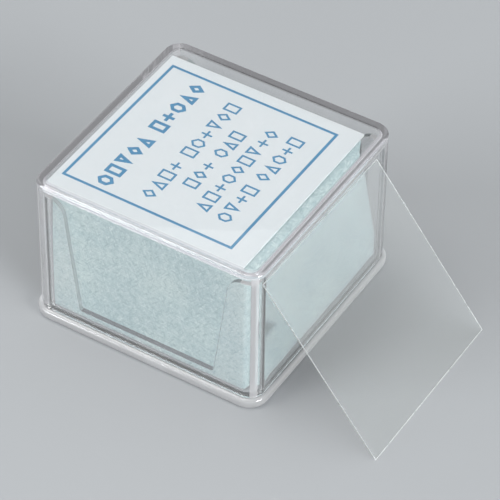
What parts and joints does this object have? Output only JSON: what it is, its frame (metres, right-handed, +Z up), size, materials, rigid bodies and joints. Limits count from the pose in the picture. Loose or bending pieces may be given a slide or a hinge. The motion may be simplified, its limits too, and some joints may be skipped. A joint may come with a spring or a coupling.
{
  "type": "cover glass box",
  "caption": "Clear lidded box of square microscope cover glasses, wrapped in tissue under a label card, with one glass leaning on it.",
  "frame": {"origin": "middle of the underside of the tray's foot flange, on the bench", "axes": "+Z up, +X to the side the loose glass leans on, -Y to the side with the front finger notch"},
  "size_m": [0.0451, 0.0304, 0.02],
  "materials": {
    "tray_plastic": "clear moulded polystyrene",
    "lid_plastic": "clear moulded polystyrene",
    "label_card": "smooth white card with a blue printed frame",
    "tissue": "soft fibrous tissue",
    "cover_glass": "thin polished borosilicate glass with cut edges"
  },
  "bodies": {
    "tray": {"base_tray": "tray_plastic"},
    "glasses_91_100": {"cover_glasses_91_100": "cover_glass"},
    "glasses_81_90": {"cover_glasses_81_90": "cover_glass"},
    "glasses_71_80": {"cover_glasses_71_80": "cover_glass"},
    "glasses_61_70": {"cover_glasses_61_70": "cover_glass"},
    "glasses_51_60": {"cover_glasses_51_60": "cover_glass"},
    "glasses_41_50": {"cover_glasses_41_50": "cover_glass"},
    "glasses_31_40": {"cover_glasses_31_40": "cover_glass"},
    "glasses_21_30": {"cover_glasses_21_30": "cover_glass"},
    "glasses_11_20": {"cover_glasses_11_20": "cover_glass"},
    "glass_10": {"cover_glass_10": "cover_glass"},
    "glass_09": {"cover_glass_09": "cover_glass"},
    "glass_08": {"cover_glass_08": "cover_glass"},
    "glass_07": {"cover_glass_07": "cover_glass"},
    "glass_06": {"cover_glass_06": "cover_glass"},
    "glass_05": {"cover_glass_05": "cover_glass"},
    "glass_04": {"cover_glass_04": "cover_glass"},
    "glass_03": {"cover_glass_03": "cover_glass"},
    "glass_02": {"cover_glass_02": "cover_glass"},
    "tissue": {"tissue_cover": "tissue"},
    "label": {"label_card": "label_card"},
    "lid": {"lid": "lid_plastic"},
    "loose_glass": {"leaning_cover_glass": "cover_glass"}
  },
  "joints": [
    {"name": "lid_lift", "type": "slide", "parent": "label", "child": "lid", "axis": [0, 0, 1], "range_m": [0, 0.02]},
    {"name": "label_lift", "type": "slide", "parent": "tissue", "child": "label", "axis": [0, 0, 1], "range_m": [0, 0.004]},
    {"name": "tissue_lift", "type": "slide", "parent": "glass_02", "child": "tissue", "axis": [0, 0, 1], "range_m": [0, 0.018]},
    {"name": "loose_glass_tip", "type": "hinge", "parent": "tray", "child": "loose_glass", "pos_m": [0.02979, -0.00192, 0.00006], "axis": [0.0052, 1, 0], "range_deg": [0, 128.2]},
    {"name": "glasses_91_100_lift", "type": "slide", "parent": "tray", "child": "glasses_91_100", "axis": [0, 0, 1], "range_m": [0, 0.018]},
    {"name": "glasses_81_90_lift", "type": "slide", "parent": "glasses_91_100", "child": "glasses_81_90", "axis": [0, 0, 1], "range_m": [0, 0.004]},
    {"name": "glasses_71_80_lift", "type": "slide", "parent": "glasses_81_90", "child": "glasses_71_80", "axis": [0, 0, 1], "range_m": [0, 0.004]},
    {"name": "glasses_61_70_lift", "type": "slide", "parent": "glasses_71_80", "child": "glasses_61_70", "axis": [0, 0, 1], "range_m": [0, 0.004]},
    {"name": "glasses_51_60_lift", "type": "slide", "parent": "glasses_61_70", "child": "glasses_51_60", "axis": [0, 0, 1], "range_m": [0, 0.004]},
    {"name": "glasses_41_50_lift", "type": "slide", "parent": "glasses_51_60", "child": "glasses_41_50", "axis": [0, 0, 1], "range_m": [0, 0.004]},
    {"name": "glasses_31_40_lift", "type": "slide", "parent": "glasses_41_50", "child": "glasses_31_40", "axis": [0, 0, 1], "range_m": [0, 0.004]},
    {"name": "glasses_21_30_lift", "type": "slide", "parent": "glasses_31_40", "child": "glasses_21_30", "axis": [0, 0, 1], "range_m": [0, 0.004]},
    {"name": "glasses_11_20_lift", "type": "slide", "parent": "glasses_21_30", "child": "glasses_11_20", "axis": [0, 0, 1], "range_m": [0, 0.004]},
    {"name": "glass_10_lift", "type": "slide", "parent": "glasses_11_20", "child": "glass_10", "axis": [0, 0, 1], "range_m": [0, 0.002]},
    {"name": "glass_09_lift", "type": "slide", "parent": "glass_10", "child": "glass_09", "axis": [0, 0, 1], "range_m": [0, 0.002]},
    {"name": "glass_08_lift", "type": "slide", "parent": "glass_09", "child": "glass_08", "axis": [0, 0, 1], "range_m": [0, 0.002]},
    {"name": "glass_07_lift", "type": "slide", "parent": "glass_08", "child": "glass_07", "axis": [0, 0, 1], "range_m": [0, 0.002]},
    {"name": "glass_06_lift", "type": "slide", "parent": "glass_07", "child": "glass_06", "axis": [0, 0, 1], "range_m": [0, 0.002]},
    {"name": "glass_05_lift", "type": "slide", "parent": "glass_06", "child": "glass_05", "axis": [0, 0, 1], "range_m": [0, 0.002]},
    {"name": "glass_04_lift", "type": "slide", "parent": "glass_05", "child": "glass_04", "axis": [0, 0, 1], "range_m": [0, 0.002]},
    {"name": "glass_03_lift", "type": "slide", "parent": "glass_04", "child": "glass_03", "axis": [0, 0, 1], "range_m": [0, 0.002]},
    {"name": "glass_02_lift", "type": "slide", "parent": "glass_03", "child": "glass_02", "axis": [0, 0, 1], "range_m": [0, 0.002]}
  ]
}
